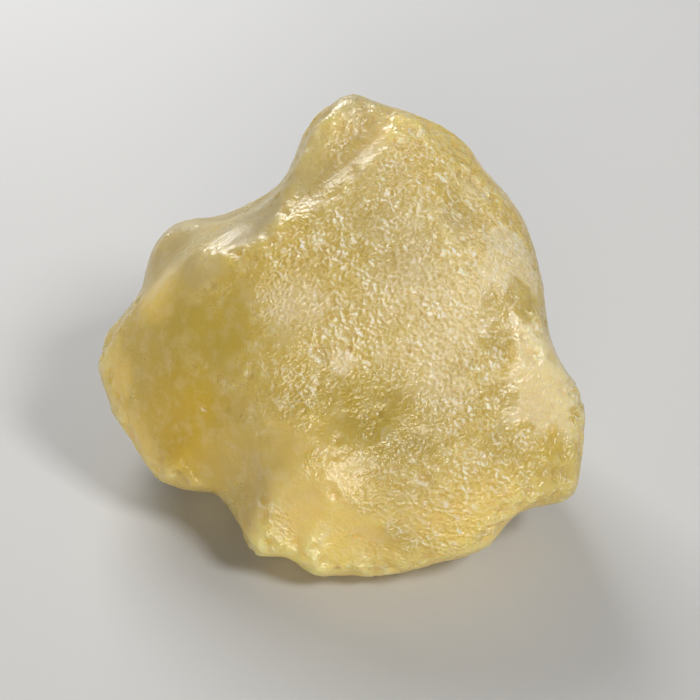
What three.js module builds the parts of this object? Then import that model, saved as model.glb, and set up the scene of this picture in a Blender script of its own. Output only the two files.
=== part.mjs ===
// A lump of natural desert glass: one piece of wind-worn silica glass, about 40 mm across,
// standing on its base with its broad face leaning back from the viewer.
//
// Millimetres, +Z up, +X to the right of the broad face and +Y behind it.
// The origin is the middle of the bounding box's underside, where the lump rests.
import * as THREE from "three";
import { ImprovedNoise } from "three/addons/math/ImprovedNoise.js";
import { mergeVertices } from "three/addons/utils/BufferGeometryUtils.js";

// Driving dimensions: the eye that draws the outline, and how worn the lump is
const EYE_ELEVATION = 35; // degrees above the horizon
const EYE_DISTANCE = 137; // from the eye to the middle of the outline
const SIGHT_HEIGHT = 14.9; // of the outline's middle above the base
const EDGE_WEAR = 2; // width of the rounding where two faces meet
const RIM_WEAR = 0.8; // the same along the outline
const RIM_ROOM = 0.08; // what that rounding takes off the outline, given back
const RIM_BULGE = 0.022; // how fast the sides fall in behind and before the outline, per mm
const NICK_DEPTH = 6; // distance from the outline at which its small nicks have died out
const NICK_ANGLE = 16; // degrees of the outline that a nick may span
const LARGEST_RADIUS = 40; // a sphere of this radius holds the whole lump
const MARCH_STEP = 0.5; // stride with which the surface is looked for from outside
const HALVINGS = 30; // of the last stride, to land on the surface
const FLAT = 0.00001; // a height below this is the base itself
const SLOPE_STEP = 0.3; // reach over which the surface's slope is felt
const RIM_STEPS = 60; // points read off the outline between two of its corners
const MESH_DETAIL = 19; // cuts along each edge of the starting icosahedron

// What the eye sees: right, up the picture and towards the eye, from the outline's middle
const elevation = THREE.MathUtils.degToRad(EYE_ELEVATION);
const SIGHT = new THREE.Matrix4()
  .makeBasis(
    new THREE.Vector3(1, 0, 0),
    new THREE.Vector3(0, Math.sin(elevation), Math.cos(elevation)),
    new THREE.Vector3(0, -Math.cos(elevation), Math.sin(elevation)),
  )
  .setPosition(0, 0, SIGHT_HEIGHT);
const TO_SIGHT = SIGHT.clone().invert();
const seen = (right, up, near) => new THREE.Vector3(right, up, near).applyMatrix4(SIGHT);
const seenWay = (right, up, near) => new THREE.Vector3(right, up, near).transformDirection(SIGHT);
const standing = (x, y, z) => new THREE.Vector3(x, y, z);
const standingWay = (x, y, z) => new THREE.Vector3(x, y, z).normalize();
const HEART = seen(-1, -1, -4); // a point inside, from which every bit of the surface can be seen

// The outline, clockwise from the peak, as [right, up, towards the eye]
const OUTLINE = [
  [0.4, 21.4, 1], [2.6, 20.5, 1], [6.7, 19.1, 0.5], [9.8, 17.1, 0], [11, 15.2, 0], [13.1, 12.8, 0],
  [14.4, 10.9, 0], [15.3, 8.7, 0], [16.1, 5.3, 0.5], [16.4, 2.2, 1], [16.9, 0.2, 2], [18.4, -2.4, 3],
  [19.2, -3.4, 3.5], [19.5, -4.8, 4], [19.4, -7.7, 4.3], [18.8, -11.6, 3.5], [18.3, -12.6, 3],
  [16.9, -13, 2.5], [14.1, -13.4, 1.5], [12.7, -14.7, 2.5], [11.9, -16.1, 3], [10.2, -17.1, 3],
  [7.1, -17.7, 3], [4.5, -18.5, 3], [1.4, -18.9, 3], [-1.5, -18.7, 2.7], [-2.8, -18.9, 2.7],
  [-3.9, -18.4, 2.5], [-5, -17.2, 2.5], [-7.9, -17.1, 2.5], [-8.7, -16.4, 2], [-9.1, -14.6, 1.5],
  [-10.4, -12.7, 0], [-11.5, -11.3, -1.5], [-12.5, -11.7, -3], [-15.7, -10.9, -3.5], [-17.4, -9.5, -4],
  [-18.3, -7.2, -4], [-19.7, -5.7, -4], [-20.1, -3.7, -4], [-20.9, -1.9, -4], [-20.8, -0.3, -4],
  [-20, 1.9, -4.5], [-18.8, 3.3, -5], [-17.2, 5.3, -6.5], [-16.9, 7.3, -7], [-15.5, 9.8, -7],
  [-13.5, 11.1, -7], [-11.2, 11.2, -6.5], [-7.9, 12.6, -4], [-5.6, 14, -2], [-4.5, 16, -1],
  [-3.9, 18, 0], [-2.2, 20.1, 0.5], [-0.8, 21.1, 1],
];

// The broad faces that bound the lump: a point on each one, the way it faces and how worn its edges are
const FACES = [
  // In view
  { name: "main face", at: seen(3, 3, 9), way: seenWay(0.04, 0.06, 1) },
  { name: "upper face", at: seen(1, 16, 6.8), way: seenWay(0, 0.4, 1) },
  { name: "left slope", at: seen(-8.5, 0, 7), way: seenWay(-0.3, 0, 1) },
  { name: "left cheek", at: seen(-16.5, -1, 2.6), way: seenWay(-0.9, 0.1, 1) },
  { name: "left lower cheek", at: seen(-15, -7, 1.9), way: seenWay(-0.65, -0.22, 1) },
  { name: "lower front", at: seen(0, -15, 6.4), way: seenWay(0, -0.6, 1) },
  { name: "right facet", at: seen(12.9, -4, 8.6), way: seenWay(0.55, 0.03, 1), wear: 2 },
  { name: "upper right bevel", at: seen(12.5, 11, 4.6), way: seenWay(0.8, 0.55, 1) },
  { name: "ridge back", at: seen(-11.1, 9.3, 4.6), way: seenWay(-0.72, 0.63, 0.3), wear: 1.5 },
  // Behind and below
  { name: "back of the peak", at: standing(1, 16, 30), way: standingWay(0, 0.75, 0.65) },
  { name: "back wall", at: standing(0, 16, 14), way: standingWay(0.1, 1, 0.18) },
  { name: "back right", at: standing(16.5, 8.5, 12), way: standingWay(0.8, 0.6, 0.15) },
  { name: "back left", at: standing(-13, 15, 10), way: standingWay(-0.5, 0.85, -0.1) },
  { name: "left underside", at: standing(-18, 1, 3), way: standingWay(-0.65, 0.05, -0.75) },
  { name: "right underside", at: standing(16, -4, 2.5), way: standingWay(0.5, -0.1, -0.85) },
  { name: "back underside", at: standing(0, 13.5, 2.5), way: standingWay(0, 0.7, -0.7) },
  { name: "front underside", at: standing(0, -11, 0), way: standingWay(0, -0.35, -0.94), wear: 1 },
];

// Rounded masses that stand out of the faces
const LOBES = [
  { name: "rear left knob", at: seen(-12.5, 6.5, -9.5), radius: 7, blend: 3 },
  { name: "foot rib", at: seen(-3.2, -14.8, 5.5), end: seen(-2.8, -18, 3.7), radius: 1.5, blend: 0.8 },
];

// Hollows worn or flaked out of the lump
const HOLLOWS = [
  { name: "right waist", at: seen(23, 1.5, 4), radius: 6, blend: 1 },
  { name: "lower left groove", at: seen(-13.5, -12.5, 7.9), radius: 6, blend: 1.5 },
  { name: "dish in the upper face", at: seen(2.5, 12, 24), radius: 16, blend: 1 },
  { name: "ridge groove", at: seen(1, 18.6, 7.6), end: seen(-4.6, 13.2, 9.2), radius: 3, blend: 0.4 },
  { name: "dent in the right shoulder", at: seen(10.2, 12.6, 9.6), radius: 4, blend: 0.4 },
  { name: "chip left of the rib", at: seen(-5.9, -15.7, 9.4), radius: 4.2, blend: 0.4 },
  { name: "chip right of the rib", at: seen(1.2, -18.4, 9.6), radius: 5, blend: 0.4 },
  { name: "flake off the back", at: standing(7, 30, 17), radius: 16, blend: 1 },
  { name: "flake off the back's foot", at: standing(-5, 29, 5), radius: 13, blend: 1 },
  { name: "flake off the right side", at: standing(28, 8, 15), radius: 13.5, blend: 1 },
];

// Gentle unevenness: the size of its swells and how far they stand out
const SWELLS = [
  { size: 7, height: 0.4 },
  { size: 3, height: 0.14 },
];

// Dimples like thumb marks, worn all over
const DIMPLES = 110;
const DIMPLE_ACROSS = [2.4, 5.5]; // from the commonest to the rarest
const DIMPLE_DEPTH = 0.05; // as a share of the width
const DIMPLE_WEAR = 0.25;
const DIMPLE_SEED = 7;

/** The larger of two distances, rounded off over a width where they are nearly equal. */
function softMax(a, b, width) {
  const near = Math.max(width - Math.abs(a - b), 0) / width;
  return Math.max(a, b) + (near * near * width) / 4;
}

/** Signed distance from a ball, or from a bar with round ends where it has a far end. */
function fromBall(point, { at, end, radius }) {
  if (!end) return point.distanceTo(at) - radius;
  const near = new THREE.Line3(at, end).closestPointToPoint(point, true, new THREE.Vector3());
  return point.distanceTo(near) - radius;
}

/** Degrees round the outline, from 0 up to 360. */
const wrap = (degrees) => THREE.MathUtils.euclideanModulo(degrees, 360);
const degreesOf = (p) => wrap(THREE.MathUtils.radToDeg(Math.atan2(p.y, p.x)));

/** The outline's radius, nearness to the eye and radius without nicks, at each degree round it. */
function makeRim() {
  const corners = OUTLINE.map((p) => new THREE.Vector3(...p));
  const curve = new THREE.CatmullRomCurve3(corners, true);
  const rim = [];
  for (const p of curve.getPoints(OUTLINE.length * RIM_STEPS)) {
    rim[wrap(Math.round(degreesOf(p)))] = { radius: Math.hypot(p.x, p.y), near: p.z };
  }
  rim.forEach((here, degree) => {
    let sum = 0;
    for (let i = 0; i <= NICK_ANGLE; i++) sum += rim[wrap(degree + i - NICK_ANGLE / 2)].radius;
    here.smooth = sum / (NICK_ANGLE + 1);
  });
  return rim;
}
const RIM = makeRim();

/** The outline where a point seen by the eye lies, between its whole degrees. */
function rimAt(p) {
  const degrees = degreesOf(p);
  const before = RIM[Math.floor(degrees)];
  const after = RIM[wrap(Math.floor(degrees) + 1)];
  const between = (key) => THREE.MathUtils.lerp(before[key], after[key], degrees % 1);
  return { radius: between("radius"), near: between("near"), smooth: between("smooth") };
}

/** Distance outside the outline, which the eye sees in perspective. */
function fromRim(point) {
  const p = point.clone().applyMatrix4(TO_SIGHT);
  const perspective = 1 - p.z / EYE_DISTANCE;
  const rim = rimAt(p);
  const depth = Math.abs(p.z - rim.near);
  const worn = THREE.MathUtils.smoothstep(depth, 0, NICK_DEPTH);
  const radius = THREE.MathUtils.lerp(rim.radius, rim.smooth, worn);
  return Math.hypot(p.x, p.y) / perspective - radius - RIM_ROOM + RIM_BULGE * depth * depth;
}

const noise = new ImprovedNoise();
const dimples = []; // cut once the lump without them is known

/** How far the swells raise the surface at a point. */
function swell(point) {
  return SWELLS.reduce((sum, { size, height }) => {
    return sum + height * noise.noise(point.x / size, point.y / size, point.z / size);
  }, 0);
}

/** Signed distance, about, from the lump's surface: negative inside. */
function fromSurface(point) {
  let d = -LARGEST_RADIUS;
  for (const { at, way, wear = EDGE_WEAR } of FACES) {
    d = softMax(d, point.clone().sub(at).dot(way), wear);
  }
  for (const lobe of LOBES) d = -softMax(-d, -fromBall(point, lobe), lobe.blend);
  d = softMax(d - swell(point), fromRim(point), RIM_WEAR);
  for (const hollow of HOLLOWS) d = softMax(d, -fromBall(point, hollow), hollow.blend);
  for (const dimple of dimples) d = softMax(d, -fromBall(point, dimple), DIMPLE_WEAR);
  return Math.max(d, -point.z);
}

/** The outermost point of the surface from the lump's heart along a direction. */
function surfacePoint(way) {
  const at = (distance) => HEART.clone().addScaledVector(way, distance);
  let outside = LARGEST_RADIUS;
  while (fromSurface(at(outside - MARCH_STEP)) > 0) outside -= MARCH_STEP;
  let inside = outside - MARCH_STEP;
  for (let i = 0; i < HALVINGS; i++) {
    const middle = (inside + outside) / 2;
    if (fromSurface(at(middle)) > 0) outside = middle;
    else inside = middle;
  }
  return at(inside);
}

/** The way the surface faces at a point. */
function outwards(point) {
  const slope = (x, y, z) => {
    const step = new THREE.Vector3(x, y, z).multiplyScalar(SLOPE_STEP);
    return fromSurface(point.clone().add(step)) - fromSurface(point.clone().sub(step));
  };
  return new THREE.Vector3(slope(1, 0, 0), slope(0, 1, 0), slope(0, 0, 1)).normalize();
}

/** Shallow dimples scattered over the lump, the same ones each time, and none in the flat base. */
function makeDimples() {
  const random = THREE.MathUtils.seededRandom;
  random(DIMPLE_SEED);
  const scattered = Array.from({ length: DIMPLES }, () => {
    const polar = Math.acos(2 * random() - 1);
    const way = new THREE.Vector3().setFromSphericalCoords(1, polar, 2 * Math.PI * random());
    const across = THREE.MathUtils.lerp(...DIMPLE_ACROSS, random() ** 2);
    const depth = across * DIMPLE_DEPTH;
    const radius = (across * across) / (8 * depth) + depth / 2;
    const point = surfacePoint(way);
    return { at: point.clone().addScaledVector(outwards(point), radius - depth), radius };
  });
  return scattered.filter(({ at }) => at.z > 0);
}

/** The lump's surface: an icosahedron's faces cut small and let out to the surface. */
function makeLump() {
  dimples.push(...makeDimples());
  const ball = new THREE.IcosahedronGeometry(1, MESH_DETAIL);
  ball.deleteAttribute("normal");
  ball.deleteAttribute("uv");
  const geometry = mergeVertices(ball);
  const position = geometry.getAttribute("position");
  const way = new THREE.Vector3();
  for (let i = 0; i < position.count; i++) {
    way.fromBufferAttribute(position, i).normalize();
    const point = surfacePoint(way);
    position.setXYZ(i, point.x, point.y, point.z < FLAT ? 0 : point.z);
  }
  geometry.computeVertexNormals();
  return geometry;
}

const lump = new THREE.Mesh(
  makeLump(),
  new THREE.MeshStandardMaterial({ color: 0xcbb968, roughness: 0.4, metalness: 0 }),
);
lump.name = "desert_glass";
lump.geometry.computeBoundingBox();
const middle = lump.geometry.boundingBox.getCenter(new THREE.Vector3());
lump.position.set(-middle.x, -middle.y, 0);

const part = new THREE.Group();
part.add(lump);
export default part;
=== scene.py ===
"""A lump of wind-worn desert glass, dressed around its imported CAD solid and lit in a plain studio."""

from __future__ import annotations

import logging
import math
from collections.abc import Iterable
from collections.abc import Mapping
from dataclasses import dataclass
from dataclasses import field
from enum import Enum
from typing import Any

import bmesh
import bpy
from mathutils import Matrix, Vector

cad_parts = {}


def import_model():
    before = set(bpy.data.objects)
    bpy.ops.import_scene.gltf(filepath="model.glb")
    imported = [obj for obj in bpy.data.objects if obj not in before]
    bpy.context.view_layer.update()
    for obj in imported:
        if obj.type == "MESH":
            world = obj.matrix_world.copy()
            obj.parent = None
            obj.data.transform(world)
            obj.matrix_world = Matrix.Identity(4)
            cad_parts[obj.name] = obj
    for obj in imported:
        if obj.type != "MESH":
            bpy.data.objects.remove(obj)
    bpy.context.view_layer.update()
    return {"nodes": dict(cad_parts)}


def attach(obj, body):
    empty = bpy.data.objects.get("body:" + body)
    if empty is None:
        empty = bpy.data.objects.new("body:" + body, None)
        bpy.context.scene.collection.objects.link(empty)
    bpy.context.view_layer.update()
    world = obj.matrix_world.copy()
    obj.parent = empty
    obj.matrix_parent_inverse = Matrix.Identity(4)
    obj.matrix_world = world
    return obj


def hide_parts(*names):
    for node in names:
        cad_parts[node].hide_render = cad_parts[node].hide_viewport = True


MM = 0.001
NODE = "desert_glass"
BODY = "root"
WELD_DISTANCE = 0.001 * MM

log = logging.getLogger("desert_glass")

Colour = tuple[float, float, float]
Triple = tuple[float, float, float]
Span = tuple[float, float]


class Wire:
    """An output of a node, on which arithmetic adds Math nodes."""

    def __init__(self, bench: Bench, socket: bpy.types.NodeSocket) -> None:
        """Keeps the socket and the bench that its tree is written on."""
        self.bench = bench
        self.socket = socket

    def math(self, operation: str, *values: Any) -> Wire:
        """Adds a Math node.

        Args:
            operation: the Math node's operation.
            values: its inputs, in order.

        Returns:
            The node's result.
        """
        return self.bench.add("ShaderNodeMath", {"operation": operation}, dict(enumerate(values)))

    def __add__(self, other: Any) -> Wire:
        """Adds."""
        return self.math("ADD", self, other)

    def __radd__(self, other: Any) -> Wire:
        """Adds, from the right."""
        return self.math("ADD", other, self)

    def __sub__(self, other: Any) -> Wire:
        """Subtracts."""
        return self.math("SUBTRACT", self, other)

    def __rsub__(self, other: Any) -> Wire:
        """Subtracts, from the right."""
        return self.math("SUBTRACT", other, self)

    def __mul__(self, other: Any) -> Wire:
        """Multiplies."""
        return self.math("MULTIPLY", self, other)

    def __rmul__(self, other: Any) -> Wire:
        """Multiplies, from the right."""
        return self.math("MULTIPLY", other, self)

    def __truediv__(self, other: Any) -> Wire:
        """Divides."""
        return self.math("DIVIDE", self, other)

    def __rtruediv__(self, other: Any) -> Wire:
        """Divides, from the right."""
        return self.math("DIVIDE", other, self)

    def __abs__(self) -> Wire:
        """Drops the sign."""
        return self.math("ABSOLUTE", self)

    def most(self, other: Any) -> Wire:
        """The larger of two values."""
        return self.math("MAXIMUM", self, other)

    def rise(self, low: Any, high: Any) -> Wire:
        """Rises smoothly from 0 to 1.

        Args:
            low: the value where it starts.
            high: the value where it ends.

        Returns:
            The smooth step.
        """
        limits = {"Value": self, "From Min": low, "From Max": high}
        return self.bench.add("ShaderNodeMapRange", {"interpolation_type": "SMOOTHSTEP"}, limits)

    def fall(self, low: Any, high: Any) -> Wire:
        """Falls smoothly from 1 to 0 between two values."""
        return 1 - self.rise(low, high)


class Bench:
    """Writes a node tree, each node through one method."""

    def __init__(self, tree: bpy.types.NodeTree) -> None:
        """Keeps the tree."""
        self.tree = tree

    def add(
        self,
        kind: str,
        settings: Mapping[str, Any] | None = None,
        sockets: Mapping[int | str, Any] | None = None,
        output: int | str = 0,
    ) -> Wire:
        """Adds a node.

        Args:
            kind: the node's type.
            settings: its own properties, which are set first.
            sockets: values or links of its inputs, by place or by name.
            output: the output to hand on, by place or by name.

        Returns:
            That output.
        """
        node = self.tree.nodes.new(kind)
        for name, value in (settings or {}).items():
            setattr(node, name, value)
        for key, value in (sockets or {}).items():
            self.plug(value, node.inputs[key])
        return Wire(self, node.outputs[output])

    def end(self, kind: str, sockets: Mapping[int | str, Any]) -> None:
        """Adds a node that ends the tree.

        Args:
            kind: the node's type.
            sockets: links of its inputs, by place or by name.
        """
        node = self.tree.nodes.new(kind)
        for key, value in sockets.items():
            self.plug(value, node.inputs[key])

    def plug(self, value: Any, socket: bpy.types.NodeSocket) -> None:
        """Links a wire to an input, or sets the input's value.

        Args:
            value: the wire or the value.
            socket: the input.
        """
        if isinstance(value, Wire):
            self.tree.links.new(value.socket, socket)
        else:
            socket.default_value = value

    def vector(self, operation: str, *values: Any, output: str = "Vector") -> Wire:
        """Adds a Vector Math node.

        Args:
            operation: the node's operation.
            values: its inputs, in order.
            output: the output to hand on.

        Returns:
            The node's result.
        """
        numbered = dict(enumerate(values))
        return self.add("ShaderNodeVectorMath", {"operation": operation}, numbered, output)

    def scaled(self, vector: Wire, scale: Any) -> Wire:
        """A vector times a number."""
        return self.add("ShaderNodeVectorMath", {"operation": "SCALE"}, {0: vector, "Scale": scale})

    def mix(self, factor: Any, first: Wire | Colour, second: Wire | Colour) -> Wire:
        """Mixes two colours.

        Args:
            factor: the share of the second.
            first: a colour.
            second: a colour.

        Returns:
            The mixed colour.
        """
        pair = [c if isinstance(c, Wire) else (*c, 1.0) for c in (first, second)]
        return self.add("ShaderNodeMix", {"data_type": "RGBA"}, {0: factor, 6: pair[0], 7: pair[1]}, 2)

    def noise(self, where: Wire, size: Any, detail: float = 2.0, output: str = "Fac") -> Wire:
        """Smooth noise.

        Args:
            where: the coordinates, in millimetres.
            size: the width of a swell, in millimetres.
            detail: finer layers on top of the first.
            output: Fac, one number, or Color, three of them.

        Returns:
            Noise round a half.
        """
        sockets = {"Vector": where, "Scale": 1 / size, "Detail": detail}
        return self.add("ShaderNodeTexNoise", None, sockets, output)

    def cells(self, where: Wire, size: Any) -> tuple[Wire, Wire]:
        """Scattered points, one to a cell.

        Args:
            where: the coordinates, in millimetres.
            size: the width of a cell, in millimetres.

        Returns:
            The distance from the nearest point, in cells, and that point's own three numbers.
        """
        sockets = {"Vector": where, "Scale": 1 / size}
        distance = self.add("ShaderNodeTexVoronoi", None, sockets, "Distance")
        return distance, Wire(self, distance.socket.node.outputs["Color"])

    def parts(self, vector: Wire) -> list[Wire]:
        """A vector's or a colour's three numbers."""
        split = self.add("ShaderNodeSeparateXYZ", None, {0: vector})
        return [Wire(self, socket) for socket in split.socket.node.outputs]

    def kept(self, name: str) -> Wire:
        """A number that the mesh keeps at each of its points."""
        return self.add("ShaderNodeAttribute", {"attribute_name": name}, output="Fac")

    def keep(self, geometry: Wire, name: str, value: Wire) -> Wire:
        """Has the mesh keep a number at each of its points.

        Args:
            geometry: the mesh.
            name: the number's name.
            value: the number.

        Returns:
            The mesh with it.
        """
        sockets = {"Geometry": geometry, "Name": name, "Value": value}
        return self.add("GeometryNodeStoreNamedAttribute", {"data_type": "FLOAT"}, sockets)


@dataclass(frozen=True)
class Sight:
    """The photograph's view of the lump, in millimetres and degrees, but for nearest_seen, in metres.

    A place in it is given as right, up the picture and towards the eye, from the picture's middle.
    """

    middle: Triple = (1.24, -2.12, 14.9)
    elevation: float = 35.0
    distance: float = 137.0
    picture: float = 58.33
    sensor: float = 36.0
    nearest_seen: float = 0.01

    def way(self, right: float, up: float, near: float) -> Vector:
        """A direction in the picture.

        Args:
            right: its part to the right.
            up: its part up the picture.
            near: its part towards the eye.

        Returns:
            The direction in the lump's frame.
        """
        lean = math.radians(self.elevation)
        above = Vector((0.0, math.sin(lean), math.cos(lean)))
        towards = Vector((0.0, -math.cos(lean), math.sin(lean)))
        return Vector((right, 0.0, 0.0)) + up * above + near * towards

    def place(self, right: float, up: float, near: float) -> Vector:
        """A place in the picture, in the lump's frame, in millimetres."""
        return Vector(self.middle) + self.way(right, up, near)

    def camera(self) -> bpy.types.Object:
        """Sets up the camera where the photograph was taken from.

        Returns:
            The camera, which is the scene's own.
        """
        data = bpy.data.cameras.new("camera")
        data.sensor_width = self.sensor
        data.lens = self.sensor * self.distance / self.picture
        data.clip_start = self.nearest_seen
        camera = bpy.data.objects.new("camera", data)
        camera.location = self.place(0.0, 0.0, self.distance) * MM
        camera.rotation_euler = (math.radians(90.0 - self.elevation), 0.0, 0.0)
        bpy.context.scene.collection.objects.link(camera)
        bpy.context.scene.camera = camera
        return camera


class Tone(Enum):
    """What the glass of a patch looks like."""

    OLIVE = "olive"
    # amber_shade: the glass's deep yellow with painted shade, where the surface turns down from the top
    # light.
    AMBER_SHADE = "amber_shade"
    # A painted glow: stronger yellow where light passes through the glass and out at the lower front and
    # thin edges.
    PAINTED_GLOW = "bright"
    CLEAR = "clear"
    MILK = "milk"
    KHAKI = "khaki"
    RUST = "rust"


@dataclass(frozen=True)
class Patch:
    """A patch of another tone, round a place in the picture, in millimetres.

    Its strength is the share of its tone, bare the share of the wear that is missing there, fade the width
    of its soft edge, ragged how uneven that edge is and end where it stops, the last three in radii.
    """

    name: str
    tone: Tone
    place: Triple
    radius: float
    strength: float = 1.0
    bare: float = 0.0
    fade: float = 0.9
    ragged: float = 1.0
    end: float = 1.15

    def cover(self, bench: Bench, where: Wire, wander: Wire, sight: Sight) -> Wire:
        """How far the patch reaches.

        Args:
            bench: the tree.
            where: the coordinates, in millimetres.
            wander: noise round 0 that makes its edge uneven.
            sight: the view that its place is given in.

        Returns:
            1 in the patch and 0 outside it.
        """
        distance = bench.vector("DISTANCE", where, sight.place(*self.place), output="Value")
        return (distance / self.radius + wander * self.ragged).fall(self.end - self.fade, self.end)


PATCHES = (
    Patch("left side", Tone.OLIVE, (-11.0, 1.0, 4.0), 10.0, 0.9, bare=0.7, fade=1.1),
    # lower left and crease: painted shade where the surface turns down from the top light and into the
    # crease.
    Patch("lower left", Tone.AMBER_SHADE, (-13.0, -6.5, 2.0), 8.0, 0.95, bare=0.9, fade=1.1),
    Patch("crease", Tone.AMBER_SHADE, (-9.8, -9.2, 4.0), 5.0, 0.5, bare=0.6, fade=1.1),
    # beside the crease, front, foot and lower right: painted glow of light passing out through the lower
    # front.
    Patch("beside the crease", Tone.PAINTED_GLOW, (-9.0, -10.5, 4.5), 4.5, 0.4, fade=1.1),
    Patch("front", Tone.PAINTED_GLOW, (-2.5, -10.5, 7.5), 7.0, 0.5, bare=0.8),
    Patch("middle", Tone.OLIVE, (2.0, -5.5, 8.0), 7.5, 1.0, bare=0.75, fade=1.0, ragged=1.5),
    Patch("foot", Tone.PAINTED_GLOW, (-2.0, -16.0, 5.0), 8.0, 0.9, bare=0.65),
    Patch("lower right", Tone.PAINTED_GLOW, (8.5, -14.0, 5.5), 6.0, 0.7),
    Patch("peak", Tone.CLEAR, (0.6, 19.5, 3.5), 4.0, 0.8, bare=0.5),
    Patch("upper face", Tone.CLEAR, (2.5, 12.5, 7.5), 7.0, 0.45, fade=1.1),
    Patch("right facet", Tone.MILK, (15.3, -2.0, 7.0), 4.6, 0.55, bare=0.8, fade=0.3, ragged=2.5),
    Patch("below the facet", Tone.OLIVE, (16.2, -9.5, 6.9), 5.0, 0.8, bare=0.5),
    Patch("above the facet", Tone.KHAKI, (13.6, 3.8, 6.9), 1.6, 0.8, bare=0.6, fade=0.3, ragged=2.0),
    Patch("beside the facet", Tone.KHAKI, (11.5, 3.2, 7.9), 1.6, 0.7, bare=0.4, fade=0.4, ragged=2.5),
    Patch("left of the facet", Tone.KHAKI, (11.6, 0.2, 8.2), 1.7, 0.8, bare=0.4, fade=0.4, ragged=2.5),
    Patch("edge of the facet", Tone.KHAKI, (11.8, -3.4, 8.3), 1.3, 0.7, bare=0.4, fade=0.4, ragged=2.5),
    Patch("low edge of the facet", Tone.KHAKI, (11.7, -7.2, 8.5), 1.8, 0.6, bare=0.4, fade=0.4, ragged=2.5),
    Patch("flake", Tone.MILK, (12.9, 6.8, 7.1), 2.9, 0.75, bare=0.4, fade=0.2, ragged=2.0),
    Patch("shoulder dent", Tone.MILK, (10.0, 13.2, 6.0), 2.2, 0.5, bare=0.5, ragged=2.0),
    # right of the middle and glints: milky white painted as the key light's sheen and glints on the right
    # half.
    Patch("right of the middle", Tone.MILK, (8.0, 4.0, 8.0), 8.0, 0.55),
    Patch("band", Tone.KHAKI, (3.0, -6.3, 8.6), 5.5, 0.55, bare=0.3, fade=1.0, ragged=1.5),
    Patch("glints", Tone.MILK, (7.5, -2.5, 8.8), 4.5, 0.4, ragged=2.0),
    # below the knob, left edge and lower left edge: painted light and glow on the knob's underside and the
    # thin left edges.
    Patch("below the knob", Tone.PAINTED_GLOW, (-15.8, 5.2, 1.4), 3.4, 0.95, bare=1.0, fade=1.0),
    Patch("left edge", Tone.PAINTED_GLOW, (-19.9, -2.5, -1.1), 3.0, 0.8, bare=1.0),
    Patch("lower left edge", Tone.PAINTED_GLOW, (-18.2, -7.5, -1.0), 3.0, 0.7, bare=1.0),
    Patch("left of the middle", Tone.MILK, (-5.0, 4.0, 8.0), 3.0, 0.45, ragged=3.0),
    Patch("ridge", Tone.CLEAR, (-3.5, 16.0, 5.0), 4.5, 0.6, bare=0.7),
    Patch("rim", Tone.CLEAR, (-8.0, 10.0, 4.4), 3.4, 0.7, bare=0.9, fade=0.6),
    Patch("low rim", Tone.CLEAR, (-12.0, 6.6, 4.8), 2.4, 0.6, bare=0.9, fade=0.6),
    Patch("knob", Tone.CLEAR, (-13.5, 8.5, -6.0), 6.0, 0.9, bare=1.0),
    Patch("blotch", Tone.MILK, (-0.6, -0.9, 8.7), 1.1, 0.7, fade=0.5, ragged=2.0),
    Patch("rust speck", Tone.RUST, (0.0, 0.1, 8.9), 0.34, 0.9, ragged=1.5),
    Patch("dark speck", Tone.RUST, (-1.0, -17.5, 4.7), 0.3, 0.8, ragged=1.5),
)


@dataclass(frozen=True)
class Hollow:
    """A pit of its own, round a place in the picture, in millimetres.

    Its depth, the width of its rim and how far the painted highlight on its rim's lit side reaches are
    shares of its radius.
    """

    name: str
    place: Triple
    radius: float
    depth: float = 0.4
    # painted_lit_side: the way to the part of the rim where the highlight is painted.
    painted_lit_side: Triple = (-0.75, -0.65, 0.0)
    rim_width: Span = (0.05, 0.35)
    side_reach: Span = (-0.4, 0.6)

    def shape(self, bench: Bench, where: Wire, wander: Wire, sight: Sight) -> tuple[Wire, Wire]:
        """What the pit does to the surface.

        Args:
            bench: the tree.
            where: the coordinates, in millimetres.
            wander: noise round 0 that makes it uneven.
            sight: the view that its place is given in.

        Returns:
            How deep it is, in millimetres, and a painted highlight on the lit side of its rim, 1 on it and 0
            away from it.
        """
        out = bench.vector("SUBTRACT", where, sight.place(*self.place))
        reach = bench.vector("LENGTH", out, output="Value") / self.radius + wander
        towards = sight.way(*self.painted_lit_side)
        side = bench.vector("DOT_PRODUCT", out, towards, output="Value") / self.radius
        bowl = (1 - reach * reach).most(0.0) * (self.radius * self.depth)
        rim = abs(reach - 1.0).fall(*self.rim_width)
        return bowl, rim * (side + wander).rise(*self.side_reach)


HOLLOWS = (
    Hollow("wide pit", (-2.35, -0.1, 8.4), 0.7),
    Hollow("pit by the rust", (-0.3, 1.3, 8.9), 0.5),
    Hollow("left pit", (-5.1, -4.3, 8.1), 0.3),
    Hollow("far left pit", (-11.8, -4.7, 4.2), 0.3),
    Hollow("front pit", (-7.0, -12.0, 5.7), 0.5),
    Hollow("right pit", (4.7, 0.0, 9.0), 0.45),
    Hollow("lower pit", (5.0, -8.3, 9.4), 0.4),
    Hollow("lowest pit", (5.7, -10.0, 9.2), 0.6),
    Hollow("facet pit", (11.6, -6.8, 8.6), 0.5),
    Hollow("shoulder pit", (11.1, 9.5, 6.6), 0.6),
)


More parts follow.
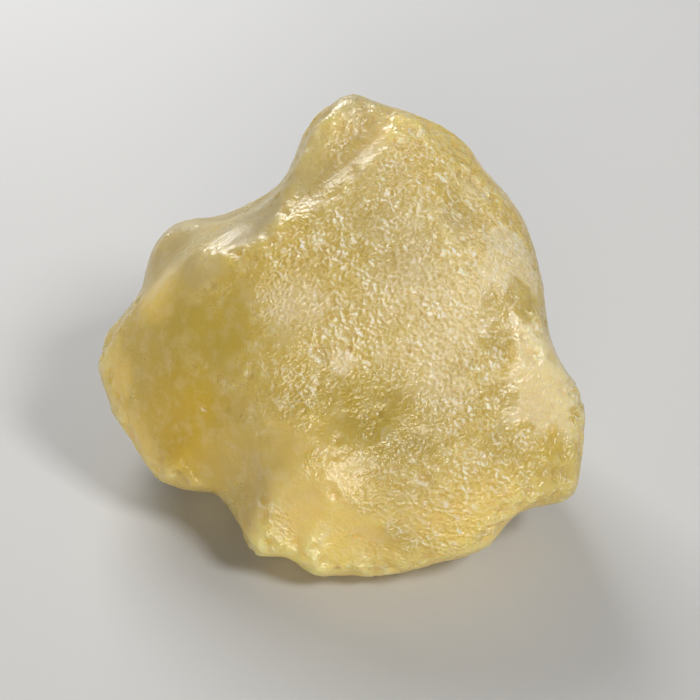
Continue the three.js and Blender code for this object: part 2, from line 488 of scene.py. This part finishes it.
@dataclass(frozen=True)
class Pits:
    """Small round pits, scattered, in millimetres.

    Only a share of the cells holds a pit. A pit's depth, its lip's place and the lip's width are shares of
    its radius, and the lip's height is a share of its depth.
    """

    spacing: float = 1.7
    widest: float = 1.2
    narrowest: float = 0.5
    depth: float = 0.3
    share: float = 0.3
    share_slack: float = 0.01
    least_radius: float = 0.001
    lip_place: float = 1.15
    lip_width: Span = (0.0, 0.3)
    lip_height: float = 0.25
    # painted_lip_highlight: a painted highlight ring round each pit's lip.
    painted_lip_highlight: float = 0.7

    def shape(self, bench: Bench, where: Wire, spacing: Any, depth: Any) -> tuple[Wire, Wire, Wire]:
        """What the pits do to the surface.

        Args:
            bench: the tree.
            where: the coordinates, in millimetres.
            spacing: the width of the cell that holds each pit.
            depth: the depth of a pit, as a share of its radius.

        Returns:
            How deep they are and how high their lips are, in millimetres, and 1 on the lips and 0 elsewhere.
        """
        cells, numbers = bench.cells(where, spacing)
        lot, size, _ = bench.parts(numbers)
        chosen = lot.fall(self.share - self.share_slack, self.share + self.share_slack)
        width = size * size * (self.widest - self.narrowest) + self.narrowest
        radius = width * 0.5 * chosen
        reach = cells * spacing / (radius + self.least_radius)
        bowl = (1 - reach * reach).most(0.0) * radius * depth
        ring = abs(reach - self.lip_place).fall(*self.lip_width)
        return bowl, ring * radius * depth * self.lip_height, ring


@dataclass(frozen=True)
class GlassFinish:
    """Pale yellow silica glass, milky inside and frosted by blown sand.

    Sizes are in millimetres, but for those times MM. A glow is the share of the bright tint on thin glass
    and edges, a painted glow for light that passes through them. haze_frost is the share of the
    frost_and_highlight colour in a haze of real frosting, and painted_glint, painted_edge_highlight and
    painted_rim_highlight are its shares in painted highlights. A span is where a pattern starts and where it
    is full.
    """

    straw: Colour = (0.7, 0.55, 0.2)
    olive: Colour = (0.53, 0.4, 0.06)
    # Painted shade: the deeper tint where the glass turns down from the top light.
    amber_shade: Colour = (0.61, 0.42, 0.03)
    milk: Colour = (0.88, 0.78, 0.55)
    clear: Colour = (0.56, 0.465, 0.24)
    # Painted glow: the tint of light passing through thin glass.
    bright: Colour = (0.95, 0.72, 0.22)
    khaki: Colour = (0.52, 0.39, 0.08)
    rust: Colour = (0.35, 0.12, 0.02)
    # The colour of real frosting, also used for painted glints and painted highlights on edges and rims.
    frost_and_highlight: Colour = (1.0, 0.96, 0.82)
    transmission: float = 0.35
    ior: float = 1.46
    gloss: float = 0.8
    subsurface: float = 1.0
    scatter_reach: Colour = (1.0, 0.8, 0.35)
    scatter_scale: float = 5.0 * MM
    absorbed: Colour = (0.94, 0.89, 0.52)
    absorption: float = 25.0
    bare_roughness: float = 0.3
    worn_roughness: float = 0.16
    # Painted glow on thin glass and on convex edges.
    painted_thin_glow: float = 0.8
    painted_edge_glow: float = 0.6
    stir_size: float = 0.7
    stir_reach: float = 0.5
    stir_detail: float = 0.0
    scallop_size: float = 0.4
    # Painted shade and glints on the scallops: each one's side turned from the key light darker, the side
    # turned to it lighter.
    shade_span: Span = (-0.24, 0.06)
    shade: float = 0.55
    glint_side: Triple = (0.12, 0.05, 0.08)
    glint_span: Span = (0.06, 0.2)
    glint_speckle: Span = (0.4, 0.58)
    painted_glint: float = 0.95
    speckle_size: float = 1.1
    cluster_size: float = 2.6
    cluster_detail: float = 1.0
    cluster_span: Span = (0.36, 0.6)
    cluster_least: float = 0.4
    haze_span: Span = (0.45, 0.7)
    haze_frost: float = 0.12
    # Painted highlights on convex edges and on the pits' rims.
    painted_edge_highlight: float = 0.12
    painted_rim_highlight: float = 0.6
    grain_size: float = 0.2
    grain_detail: float = 1.0
    bare_grain: float = 0.15
    worn_grain: float = 0.65
    bare_scallop: float = 0.08
    bump: float = 1.0
    bump_height: float = 0.2 * MM

    def tint(self, tone: Tone) -> Colour:
        """The colour of a tone."""
        return getattr(self, tone.value)

    def toned(self, bench: Bench) -> Wire:
        """The glass's colour under its frosting: the mesh's kept tones, and a painted glow on thin glass and
        edges.

        Args:
            bench: the tree.

        Returns:
            The colour.
        """
        # Painted glow: thin glass and convex edges lean to the bright tint, for light that passes through
        # them.
        thin = (bench.kept("thin") * self.painted_thin_glow).most(bench.kept("edge") * self.painted_edge_glow)
        colour = bench.mix(thin, self.straw, self.bright)
        for tone in Tone:
            colour = bench.mix(bench.kept(tone.value), colour, self.tint(tone))
        return colour

    def frosted(self, bench: Bench, where: Wire, slope: Wire, wear: Wire) -> Wire:
        """How much frosting and painted highlight shows.

        Args:
            bench: the tree.
            where: the coordinates, in millimetres.
            slope: how steep the scallops are towards one side, the key light's side, where glints are
                painted.
            wear: the wear that the mesh keeps.

        Returns:
            The share of the frost_and_highlight colour: painted glints on the scallops' sides turned to the
            key light, a thin haze of real frosting, and painted highlights on the edges and on the pits'
            rims.
        """
        speckle = bench.noise(where, self.speckle_size)
        spread = bench.noise(where, self.cluster_size, self.cluster_detail).rise(*self.cluster_span)
        cluster = spread * (1 - self.cluster_least) + self.cluster_least
        # Painted glints on the scallops' sides turned to the key light.
        glint = slope.rise(*self.glint_span) * wear * speckle.rise(*self.glint_speckle) * cluster
        haze = speckle.rise(*self.haze_span) * self.haze_frost
        # Painted highlights on convex edges and on the pits' rims.
        edge = bench.kept("edge") * self.painted_edge_highlight
        return (glint * self.painted_glint).most(haze).most(edge).most(bench.kept("rim") * self.painted_rim_highlight)

    def material(self) -> bpy.types.Material:
        """Makes the glass, whose tones, wear and edges the mesh keeps at its points.

        Returns:
            The material.
        """
        material = bpy.data.materials.new("desert_glass")
        material.use_nodes = True
        material.node_tree.nodes.clear()
        bench = Bench(material.node_tree)
        where = bench.scaled(bench.add("ShaderNodeTexCoord", output="Object"), 1 / MM)
        wear = bench.kept("wear")

        stir = bench.noise(where, self.stir_size, self.stir_detail, output="Color")
        stirred = bench.vector("ADD", where, bench.scaled(stir, self.stir_reach))
        scallop, _ = bench.cells(stirred, self.scallop_size)
        # The scallops again, a little towards the key light: slope paints olive shade on each scallop's side
        # turned from the light and glints on the side turned to it.
        beside, _ = bench.cells(bench.vector("ADD", stirred, self.glint_side), self.scallop_size)
        slope = scallop - beside
        shaded = slope.fall(*self.shade_span) * wear * self.shade
        colour = bench.mix(shaded, self.toned(bench), self.olive)
        colour = bench.mix(self.frosted(bench, where, slope, wear), colour, self.frost_and_highlight)

        roughness = wear * (self.worn_roughness - self.bare_roughness) + self.bare_roughness
        grain = bench.noise(where, self.grain_size, self.grain_detail)
        scallop_share = wear * (1 - self.bare_scallop) + self.bare_scallop
        grain_share = wear * (self.worn_grain - self.bare_grain) + self.bare_grain
        height = scallop * scallop_share + grain * grain_share
        bump = {"Strength": self.bump, "Distance": self.bump_height, "Height": height}
        shader = bench.add(
            "ShaderNodeBsdfPrincipled",
            {"subsurface_method": "RANDOM_WALK"},
            {
                "Base Color": colour,
                "Roughness": roughness,
                "Normal": bench.add("ShaderNodeBump", None, bump),
                "IOR": self.ior,
                "Specular IOR Level": self.gloss,
                "Transmission Weight": self.transmission,
                "Subsurface Weight": self.subsurface,
                "Subsurface Radius": self.scatter_reach,
                "Subsurface Scale": self.scatter_scale,
            },
        )
        volume = {"Color": (*self.absorbed, 1.0), "Density": self.absorption}
        inside = bench.add("ShaderNodeVolumeAbsorption", None, volume)
        bench.end("ShaderNodeOutputMaterial", {"Surface": shader, "Volume": inside})
        return material


@dataclass(frozen=True)
class Weathering:
    """Where blown sand has frosted the lump and where its glass changes tone.

    Sizes are in millimetres. A wear is what each cause adds, a span is where a pattern starts and where it
    is full, and a share is how much of a tone it brings.
    """

    wind: Triple = (0.5, 0.05, 1.0)
    lee: float = 0.9
    facing_span: Span = (0.45, 1.0)
    facing_wear: float = 0.75
    least_wear: float = 0.25
    wander_size: float = 3.3
    wander_detail: float = 4.0
    wander_wear: float = 0.8
    broad_size: float = 6.0
    broad_wear: float = 0.5
    wear_span: Span = (0.2, 1.4)
    tone_detail: float = 3.0
    olive_size: float = 8.0
    olive_span: Span = (0.35, 0.7)
    olive_share: float = 0.5
    cloud_size: float = 1.2
    cloud_stretch: Triple = (1.0, 1.0, 0.5)
    cloud_span: Span = (0.58, 0.74)
    cloud_share: float = 0.3

    def worn(self, bench: Bench, where: Wire, wander: Wire, turned: Wire) -> Wire:
        """How worn the surface is, before its bare patches.

        Args:
            bench: the tree.
            where: the coordinates, in millimetres.
            wander: noise round 0.
            turned: 1 where the surface faces the wind, and -1 where it faces away.

        Returns:
            From 0, bare and smooth, to 1, frosted by sand.
        """
        blown = turned.most(turned * -self.lee).rise(*self.facing_span)
        broad = bench.noise(where, self.broad_size) * self.broad_wear
        total = blown * self.facing_wear + self.least_wear + wander * self.wander_wear + broad
        return total.rise(*self.wear_span)

    def tones(self, bench: Bench, where: Wire, facing: Wire, sight: Sight) -> dict[str, Wire]:
        """What the glass looks like from place to place.

        Args:
            bench: the tree.
            where: the coordinates, in millimetres.
            facing: the way that the surface faces.
            sight: the view that the patches are given in.

        Returns:
            The share of each tone, and the wear.
        """
        windward = sight.way(*self.wind).normalized()
        turned = bench.vector("DOT_PRODUCT", facing, windward, output="Value")
        wander = bench.noise(where, self.wander_size, self.wander_detail) - 0.5
        worn = self.worn(bench, where, wander, turned)
        stretched = bench.vector("MULTIPLY", where, self.cloud_stretch)
        olive = bench.noise(where, self.olive_size, self.tone_detail)
        cloud = bench.noise(stretched, self.cloud_size, self.tone_detail)
        shares = {
            Tone.OLIVE: olive.rise(*self.olive_span) * self.olive_share,
            Tone.MILK: cloud.rise(*self.cloud_span) * self.cloud_share,
        }
        for patch in PATCHES:
            cover = patch.cover(bench, where, wander, sight)
            share = cover * patch.strength
            shares[patch.tone] = share.most(shares[patch.tone]) if patch.tone in shares else share
            worn = worn * (1 - cover * patch.bare)
        return {"wear": worn, **{tone.value: share for tone, share in shares.items()}}


@dataclass(frozen=True)
class Relief:
    """The wear that blown sand and weather cut into the lump.

    Sizes, heights, depths and the spans of edges, thin places and the foot are in millimetres. The reaches
    of edges and thin places count the mesh's points. The scallops' shares say how high they stand where
    the glass is worn, at edges and everywhere, and clear_smooth how far clear glass loses its relief.
    """

    levels: int = 2
    swell_size: float = 2.2
    swell_height: float = 0.18
    scallop_size: float = 1.15
    scallop_height: float = 0.16
    scallop_level: float = 0.65
    scallop_worn: float = 0.8
    scallop_edge: float = 0.8
    scallop_least: float = 0.2
    rind_height: float = 0.03
    chip_size: float = 1.5
    chip_depth: float = 0.6
    chip_span: Span = (0.1, 0.7)
    tear_size: float = 1.3
    tear_reach: float = 2.0
    uneven_size: float = 0.7
    uneven_share: float = 1.2
    clear_smooth: float = 0.9
    foot_span: Span = (0.05, 0.8)
    edge_reach: int = 3
    edge_span: Span = (0.08, 0.4)
    thin_reach: int = 40
    thin_span: Span = (0.6, 2.6)
    seed: float = 3.0

    def sizes(self, pits: Pits) -> dict[str, float]:
        """The sizes of the tree that wears the lump.

        Args:
            pits: the scattered pits.

        Returns:
            The tree's named inputs, with their values.
        """
        return {
            "Swell Size": self.swell_size,
            "Swell Height": self.swell_height,
            "Scallop Size": self.scallop_size,
            "Scallop Height": self.scallop_height,
            "Rind Height": self.rind_height,
            "Chip Size": self.chip_size,
            "Chip Depth": self.chip_depth,
            "Pit Spacing": pits.spacing,
            "Pit Depth": pits.depth,
            "Seed": self.seed,
        }


@dataclass
class Lump:
    """The glass itself: the CAD solid made smooth, worn and dressed."""

    node: bpy.types.Object
    sight: Sight
    relief: Relief = field(default_factory=Relief)
    pits: Pits = field(default_factory=Pits)
    weathering: Weathering = field(default_factory=Weathering)
    finish: GlassFinish = field(default_factory=GlassFinish)

    def blank(self) -> bpy.types.Object:
        """Copies the solid and joins its corners.

        Returns:
            The copy, not yet worn.
        """
        mesh = self.node.data.copy()
        mesh.materials.clear()
        work = bmesh.new()
        work.from_mesh(mesh)
        bmesh.ops.remove_doubles(work, verts=work.verts, dist=WELD_DISTANCE)
        work.to_mesh(mesh)
        work.free()
        piece = bpy.data.objects.new("glass_lump", mesh)
        bpy.context.scene.collection.objects.link(piece)
        return piece

    def proud(self, bench: Bench, facing: Wire, reach: int) -> Wire:
        """How far the surface stands out of its surroundings.

        Args:
            bench: the tree.
            facing: the way that the surface faces.
            reach: how many of the mesh's points away the surroundings end.

        Returns:
            The height in millimetres, negative in a hollow.
        """
        place = bench.add("GeometryNodeInputPosition")
        blurred = {"Value": place, "Iterations": reach}
        smooth = bench.add("GeometryNodeBlurAttribute", {"data_type": "FLOAT_VECTOR"}, blurred)
        apart = bench.vector("SUBTRACT", place, smooth)
        return bench.vector("DOT_PRODUCT", apart, facing, output="Value") / MM

    def worn_height(
        self, bench: Bench, given: Mapping[str, Wire], where: Wire, tones: Mapping[str, Wire]
    ) -> tuple[Wire, Wire]:
        """How far the wear moves the surface.

        Args:
            bench: the tree.
            given: the tree's named inputs.
            where: the coordinates, in millimetres.
            tones: the wear and the share of each tone.

        Returns:
            The height in millimetres, and painted highlights on the rims of the pits, 1 on them and 0
            elsewhere.
        """
        relief = self.relief
        wear = tones["wear"]
        shifted = bench.vector("ADD", where, bench.add("ShaderNodeCombineXYZ", None, {0: given["Seed"]}))
        swell = (bench.noise(shifted, given["Swell Size"]) - 0.5) * given["Swell Height"]
        cells, _ = bench.cells(shifted, given["Scallop Size"])
        scallop = (cells - relief.scallop_level) * given["Scallop Height"]

        bowl, lip, ring = self.pits.shape(bench, where, given["Pit Spacing"], given["Pit Depth"])
        # rim: painted highlights, a ring round each scattered pit's lip and the lit side of each listed
        # pit's rim.
        rim = ring * wear * self.pits.painted_lip_highlight
        uneven = (bench.noise(where, relief.uneven_size) - 0.5) * relief.uneven_share
        for hollow in HOLLOWS:
            deep, side = hollow.shape(bench, where, uneven, self.sight)
            bowl = bowl + deep
            rim = rim.most(side)

        edge = bench.add("GeometryNodeInputNamedAttribute", {"data_type": "FLOAT"}, {"Name": "edge"})
        tear = bench.scaled(bench.noise(where, relief.tear_size, output="Color"), relief.tear_reach)
        flakes, _ = bench.cells(bench.vector("ADD", shifted, tear), given["Chip Size"])
        chip = flakes.fall(*relief.chip_span) * edge * given["Chip Depth"]
        stand = wear * relief.scallop_worn + edge * relief.scallop_edge + relief.scallop_least
        cut = (swell - chip + scallop * stand) * (1 - tones["clear"] * relief.clear_smooth)
        height = cut + wear * given["Rind Height"] - bowl + lip
        return height * bench.parts(where)[2].rise(*relief.foot_span), rim

    def tree(self, material: bpy.types.Material, inputs: Iterable[str]) -> bpy.types.NodeTree:
        """Writes the Geometry Nodes that wear the surface.

        Args:
            material: the glass.
            inputs: the names of the sizes.

        Returns:
            The tree, with a named input for each size.
        """
        tree = bpy.data.node_groups.new("sand_wear", "GeometryNodeTree")
        tree.interface.new_socket("Geometry", in_out="INPUT", socket_type="NodeSocketGeometry")
        for name in inputs:
            tree.interface.new_socket(name, in_out="INPUT", socket_type="NodeSocketFloat")
        tree.interface.new_socket("Geometry", in_out="OUTPUT", socket_type="NodeSocketGeometry")
        bench = Bench(tree)
        given = {socket.name: Wire(bench, socket) for socket in tree.nodes.new("NodeGroupInput").outputs}

        facing = bench.add("GeometryNodeInputNormal")
        where = bench.scaled(bench.add("GeometryNodeInputPosition"), 1 / MM)
        tones = self.weathering.tones(bench, where, facing, self.sight)
        height, rim = self.worn_height(bench, given, where, tones)

        relief = self.relief
        edge = self.proud(bench, facing, relief.edge_reach).rise(*relief.edge_span)
        thin = self.proud(bench, facing, relief.thin_reach).rise(*relief.thin_span)
        skin = bench.keep(given["Geometry"], "edge", edge)
        skin = bench.keep(skin, "thin", thin)
        fine = {"Mesh": skin, "Level": relief.levels}
        skin = bench.add("GeometryNodeSubdivisionSurface", None, fine)
        # The kept rim holds the painted highlights on the pits' rims.
        for name, share in {**tones, "rim": rim}.items():
            skin = bench.keep(skin, name, share)
        offset = bench.scaled(facing, height * MM)
        skin = bench.add("GeometryNodeSetPosition", None, {"Geometry": skin, "Offset": offset})
        skin = bench.add("GeometryNodeSetShadeSmooth", None, {"Geometry": skin})
        skin = bench.add("GeometryNodeRealizeInstances", None, {"Geometry": skin})
        skin = bench.add("GeometryNodeSetMaterial", None, {"Geometry": skin, "Material": material})
        bench.end("NodeGroupOutput", {"Geometry": skin})
        return tree

    def make(self) -> bpy.types.Object:
        """Builds and dresses the lump.

        Returns:
            The finished piece, a plain mesh.
        """
        piece = self.blank()
        sizes = self.relief.sizes(self.pits)
        tree = self.tree(self.finish.material(), sizes)
        worn = piece.modifiers.new("sand_wear", "NODES")
        worn.node_group = tree
        for item in tree.interface.items_tree:
            if item.in_out == "INPUT" and item.name in sizes:
                worn[item.identifier] = sizes[item.name]
        evaluated = piece.evaluated_get(bpy.context.evaluated_depsgraph_get())
        mesh = bpy.data.meshes.new_from_object(evaluated)
        piece.modifiers.remove(worn)
        piece.data = mesh
        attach(piece, BODY)
        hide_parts(NODE)
        return piece


@dataclass(frozen=True)
class Softbox:
    """A soft studio light, in metres and watts, that looks at the lump."""

    name: str
    place: Triple
    width: float
    power: float
    colour: Colour = (1.0, 1.0, 1.0)

    def make(self, target: Vector) -> bpy.types.Object:
        """Hangs the light.

        Args:
            target: the point that it looks at, in metres.

        Returns:
            The light.
        """
        data = bpy.data.lights.new(self.name, "AREA")
        data.shape = "SQUARE"
        data.size = self.width
        data.energy = self.power
        data.color = self.colour
        light = bpy.data.objects.new(self.name, data)
        light.location = self.place
        light.rotation_euler = (target - Vector(self.place)).to_track_quat("-Z", "Y").to_euler()
        bpy.context.scene.collection.objects.link(light)
        return light


@dataclass(frozen=True)
class Wash:
    """Even light from far away, in degrees and watts per square metre."""

    name: str
    source: Triple
    spread: float
    strength: float
    colour: Colour = (1.0, 1.0, 1.0)

    def make(self) -> bpy.types.Object:
        """Turns the light on, from its source's direction.

        Returns:
            The light.
        """
        data = bpy.data.lights.new(self.name, "SUN")
        data.angle = math.radians(self.spread)
        data.energy = self.strength
        data.color = self.colour
        light = bpy.data.objects.new(self.name, data)
        light.rotation_euler = Vector(self.source).to_track_quat("Z", "Y").to_euler()
        bpy.context.scene.collection.objects.link(light)
        return light


@dataclass(frozen=True)
class Studio:
    """A plain pale floor and soft light."""

    floor_width: float = 3.0
    floor_colour: Colour = (0.5, 0.495, 0.485)
    floor_roughness: float = 0.7
    sky_colour: Colour = (0.9, 0.95, 1.0)
    sky_light: float = 0.14
    boxes: tuple[Softbox, ...] = (
        Softbox("key", (0.22, -0.19, 0.31), 0.1, 1.1),
        Softbox("back", (-0.12, 0.28, 0.24), 0.2, 1.3),
    )
    front: Wash = Wash("front", (-0.1, -1.0, 0.12), 30.0, 2.6, (1.0, 0.94, 0.84))

    def floor(self) -> bpy.types.Object:
        """Lays the floor, level with the lump's base.

        Returns:
            The floor.
        """
        half = self.floor_width / 2
        mesh = bpy.data.meshes.new("floor")
        corners = [(-half, -half, 0.0), (half, -half, 0.0), (half, half, 0.0), (-half, half, 0.0)]
        mesh.from_pydata(corners, [], [(0, 1, 2, 3)])
        material = bpy.data.materials.new("floor")
        material.use_nodes = True
        shader = material.node_tree.nodes["Principled BSDF"]
        shader.inputs["Base Color"].default_value = (*self.floor_colour, 1.0)
        shader.inputs["Roughness"].default_value = self.floor_roughness
        mesh.materials.append(material)
        floor = bpy.data.objects.new("floor", mesh)
        bpy.context.scene.collection.objects.link(floor)
        return floor

    def sky(self) -> None:
        """Lights the whole room a little."""
        world = bpy.data.worlds.new("studio")
        world.use_nodes = True
        glow = world.node_tree.nodes["Background"]
        glow.inputs["Color"].default_value = (*self.sky_colour, 1.0)
        glow.inputs["Strength"].default_value = self.sky_light
        bpy.context.scene.world = world

    def make(self, target: Vector) -> None:
        """Sets the studio up round the lump.

        Args:
            target: the point that the lights look at, in metres.
        """
        self.floor()
        self.sky()
        for box in self.boxes:
            box.make(target)
        self.front.make()
        bpy.context.scene.view_settings.view_transform = "Standard"


def main() -> None:
    """Builds the scene and reports each piece."""
    logging.basicConfig(level=logging.INFO, format="%(name)s: %(message)s")
    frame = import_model()
    sight = Sight()
    sight.camera()
    piece = Lump(frame["nodes"][NODE], sight).make()
    piece.data.calc_loop_triangles()
    log.info("%s: %d triangles", piece.name, len(piece.data.loop_triangles))
    Studio().make(Vector(sight.middle) * MM)


if __name__ == "__main__":
    main()
